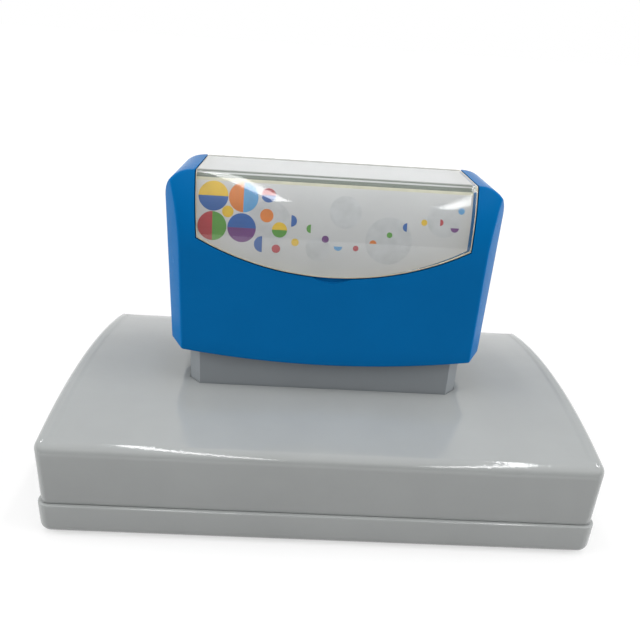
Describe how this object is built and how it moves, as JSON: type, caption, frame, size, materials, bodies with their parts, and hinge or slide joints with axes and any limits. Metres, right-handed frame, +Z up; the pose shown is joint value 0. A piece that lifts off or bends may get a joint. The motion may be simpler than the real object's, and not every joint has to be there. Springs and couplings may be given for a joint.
{
  "type": "pre-inked stamp",
  "caption": "Pre-inked hand stamp with an arched housing on a dust cap, a sprung grip that slides down through it, a foam face and a clear index window.",
  "frame": {"origin": "on the desk, under the middle of the dust cap", "axes": "+Z up along the press direction's opposite, +X along the stamp's width, +Y from its front to its back"},
  "size_m": [0.1214, 0.0714, 0.0751],
  "materials": {
    "cap_plastic": "pale grey moulded plastic, glossy",
    "housing_plastic": "pale grey moulded plastic, glossy",
    "stem_plastic": "grey moulded plastic, semi-gloss",
    "grip_plastic": "mid blue moulded plastic, semi-gloss",
    "clear_plastic": "clear moulded plastic",
    "card": "white printed card",
    "plate_plastic": "dark grey moulded plastic",
    "face_foam": "dense microporous foam, inked",
    "reservoir_sponge": "soft ink-soaked sponge",
    "spring_steel": "bright spring wire",
    "screw_steel": "zinc-plated steel"
  },
  "bodies": {
    "cap": {"dust_cap": "cap_plastic"},
    "housing": {"housing": "housing_plastic", "return_spring_left": "spring_steel", "return_spring_right": "spring_steel"},
    "plunger": {"stem": "stem_plastic", "grip_shell": "grip_plastic", "grip_screws": "screw_steel", "pressure_plate": "plate_plastic", "plate_screws": "screw_steel", "ink_reservoir": "reservoir_sponge", "stamp_foam": "face_foam", "foam_frame": "plate_plastic", "index_card": "card"},
    "window": {"index_window": "clear_plastic"}
  },
  "joints": [
    {"name": "stamp_lift", "type": "slide", "parent": "cap", "child": "housing", "axis": [0, 0, 1], "range_m": [0, 0.03]},
    {"name": "handle_press", "type": "slide", "parent": "housing", "child": "plunger", "axis": [0, 0, -1], "range_m": [0, 0.0043], "stiffness_N_per_m": 1600, "springref_m": -0.004, "deforming": ["return_spring_left", "return_spring_right"]},
    {"name": "window_lift", "type": "slide", "parent": "plunger", "child": "window", "axis": [0, 0, 1], "range_m": [0, 0.025]}
  ]
}
